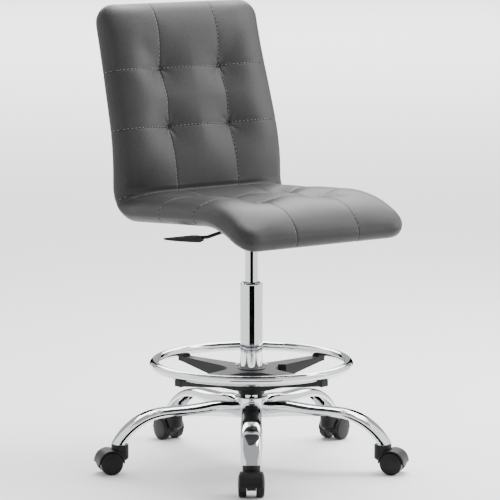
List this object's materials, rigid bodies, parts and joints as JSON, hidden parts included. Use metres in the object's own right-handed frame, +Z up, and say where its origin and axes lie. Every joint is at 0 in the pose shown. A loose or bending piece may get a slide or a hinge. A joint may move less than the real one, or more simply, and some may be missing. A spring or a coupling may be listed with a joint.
{
  "type": "drafting chair",
  "caption": "Armless drafting chair with a tufted one-piece seat and back on a gas lift, an adjustable foot ring and a star base on twin-wheel casters.",
  "frame": {"origin": "on the floor under the column's axis", "axes": "+Z up along the column; the sitter faces -Y; +X is on the sitter's left"},
  "size_m": [0.6942, 0.6605, 1.0191],
  "materials": {
    "chrome": "polished",
    "bright_steel": "satin",
    "zinc_steel": "satin",
    "black_steel": "satin",
    "black_nylon": "satin",
    "seal_rubber": "matte",
    "plywood": "matte",
    "grey_vinyl": "satin",
    "foam": "matte",
    "tie_cord": "matte"
  },
  "bodies": {
    "base": {"base_hub": "chrome", "base_arm_1": "chrome", "base_arm_2": "chrome", "base_arm_3": "chrome", "base_arm_4": "chrome", "base_arm_5": "chrome", "caster_sockets": "zinc_steel", "caster_stems": "bright_steel", "stand_tube": "chrome", "guide_bush": "black_nylon", "bottom_plate": "zinc_steel", "lower_race": "bright_steel", "bearing_balls": "bright_steel"},
    "lift_rod": {"piston_rod": "bright_steel", "upper_race": "bright_steel", "rod_clip": "zinc_steel"},
    "seat": {"gas_cylinder": "chrome", "rod_seal": "seal_rubber", "seat_plate": "black_steel", "mechanism_housing": "black_steel", "taper_socket": "black_steel", "lever_pin": "bright_steel", "plate_bolts": "zinc_steel", "tee_nuts": "zinc_steel", "shell_board": "plywood", "front_foam": "foam", "rear_foam": "foam", "vinyl_cover": "grey_vinyl", "tuft_ties": "tie_cord"},
    "lever": {"lever_rod": "black_steel", "lever_paddle": "black_nylon"},
    "valve_pin": {"release_pin": "bright_steel"},
    "foot_rest": {"foot_ring": "chrome", "ring_spider": "black_nylon", "ring_bush": "black_nylon", "ring_clips": "black_nylon", "clip_screws": "zinc_steel", "ring_screws": "zinc_steel"},
    "ring_lock": {"ring_lock_lever": "black_nylon"},
    "caster_1": {"caster_hood_1": "black_nylon", "caster_axle_1": "bright_steel"},
    "wheel_left_1": {"wheel_left_1": "black_nylon"},
    "wheel_right_1": {"wheel_right_1": "black_nylon"},
    "caster_2": {"caster_hood_2": "black_nylon", "caster_axle_2": "bright_steel"},
    "wheel_left_2": {"wheel_left_2": "black_nylon"},
    "wheel_right_2": {"wheel_right_2": "black_nylon"},
    "caster_3": {"caster_hood_3": "black_nylon", "caster_axle_3": "bright_steel"},
    "wheel_left_3": {"wheel_left_3": "black_nylon"},
    "wheel_right_3": {"wheel_right_3": "black_nylon"},
    "caster_4": {"caster_hood_4": "black_nylon", "caster_axle_4": "bright_steel"},
    "wheel_left_4": {"wheel_left_4": "black_nylon"},
    "wheel_right_4": {"wheel_right_4": "black_nylon"},
    "caster_5": {"caster_hood_5": "black_nylon", "caster_axle_5": "bright_steel"},
    "wheel_left_5": {"wheel_left_5": "black_nylon"},
    "wheel_right_5": {"wheel_right_5": "black_nylon"}
  },
  "joints": [
    {"name": "seat_swivel", "type": "hinge", "parent": "base", "child": "lift_rod", "pos_m": [0, 0, 0.125], "axis": [0, 0, 1], "continuous": true},
    {"name": "seat_height", "type": "slide", "parent": "lift_rod", "child": "seat", "axis": [0, 0, 1], "range_m": [-0.078, 0.12]},
    {"name": "height_lever", "type": "hinge", "parent": "seat", "child": "lever", "pos_m": [-0.036, 0, 0.537], "axis": [0, 1, 0], "range_deg": [0, 4.5], "stiffness_Nm_per_rad": 6, "springref_deg": -6.88},
    {"name": "valve_travel", "type": "slide", "parent": "seat", "child": "valve_pin", "axis": [0, 0, -1], "range_m": [0, 0.0031]},
    {"name": "foot_ring_height", "type": "slide", "parent": "base", "child": "foot_rest", "axis": [0, 0, 1], "range_m": [0, 0.15]},
    {"name": "ring_lock_turn", "type": "hinge", "parent": "foot_rest", "child": "ring_lock", "pos_m": [0.04854, -0.03527, 0.192], "axis": [0.809, -0.5878, 0], "range_deg": [0, 22], "stiffness_Nm_per_rad": 0.4, "springref_deg": -5.73},
    {"name": "caster_swivel_1", "type": "hinge", "parent": "base", "child": "caster_1", "pos_m": [-0.17869, -0.24594, 0.05], "axis": [0, 0, 1], "continuous": true},
    {"name": "wheel_left_spin_1", "type": "hinge", "parent": "caster_1", "child": "wheel_left_1", "pos_m": [-0.19279, -0.26536, 0.025], "axis": [0.809, -0.5878, 0], "continuous": true},
    {"name": "wheel_right_spin_1", "type": "hinge", "parent": "caster_1", "child": "wheel_right_1", "pos_m": [-0.19279, -0.26536, 0.025], "axis": [0.809, -0.5878, 0], "continuous": true},
    {"name": "caster_swivel_2", "type": "hinge", "parent": "base", "child": "caster_2", "pos_m": [0.17869, -0.24594, 0.05], "axis": [0, 0, 1], "continuous": true},
    {"name": "wheel_left_spin_2", "type": "hinge", "parent": "caster_2", "child": "wheel_left_2", "pos_m": [0.19279, -0.26536, 0.025], "axis": [0.809, 0.5878, 0], "continuous": true},
    {"name": "wheel_right_spin_2", "type": "hinge", "parent": "caster_2", "child": "wheel_right_2", "pos_m": [0.19279, -0.26536, 0.025], "axis": [0.809, 0.5878, 0], "continuous": true},
    {"name": "caster_swivel_3", "type": "hinge", "parent": "base", "child": "caster_3", "pos_m": [0.28912, 0.09394, 0.05], "axis": [0, 0, 1], "continuous": true},
    {"name": "wheel_left_spin_3", "type": "hinge", "parent": "caster_3", "child": "wheel_left_3", "pos_m": [0.31195, 0.10136, 0.025], "axis": [-0.309, 0.9511, 0], "continuous": true},
    {"name": "wheel_right_spin_3", "type": "hinge", "parent": "caster_3", "child": "wheel_right_3", "pos_m": [0.31195, 0.10136, 0.025], "axis": [-0.309, 0.9511, 0], "continuous": true},
    {"name": "caster_swivel_4", "type": "hinge", "parent": "base", "child": "caster_4", "pos_m": [0, 0.304, 0.05], "axis": [0, 0, 1], "continuous": true},
    {"name": "wheel_left_spin_4", "type": "hinge", "parent": "caster_4", "child": "wheel_left_4", "pos_m": [0, 0.328, 0.025], "axis": [-1, 0, 0], "continuous": true},
    {"name": "wheel_right_spin_4", "type": "hinge", "parent": "caster_4", "child": "wheel_right_4", "pos_m": [0, 0.328, 0.025], "axis": [-1, 0, 0], "continuous": true},
    {"name": "caster_swivel_5", "type": "hinge", "parent": "base", "child": "caster_5", "pos_m": [-0.28912, 0.09394, 0.05], "axis": [0, 0, 1], "continuous": true},
    {"name": "wheel_left_spin_5", "type": "hinge", "parent": "caster_5", "child": "wheel_left_5", "pos_m": [-0.31195, 0.10136, 0.025], "axis": [-0.309, -0.9511, 0], "continuous": true},
    {"name": "wheel_right_spin_5", "type": "hinge", "parent": "caster_5", "child": "wheel_right_5", "pos_m": [-0.31195, 0.10136, 0.025], "axis": [-0.309, -0.9511, 0], "continuous": true}
  ],
  "couplings": [
    {"joint": "valve_travel", "follows": "height_lever", "m_per_rad": 0.036}
  ]
}
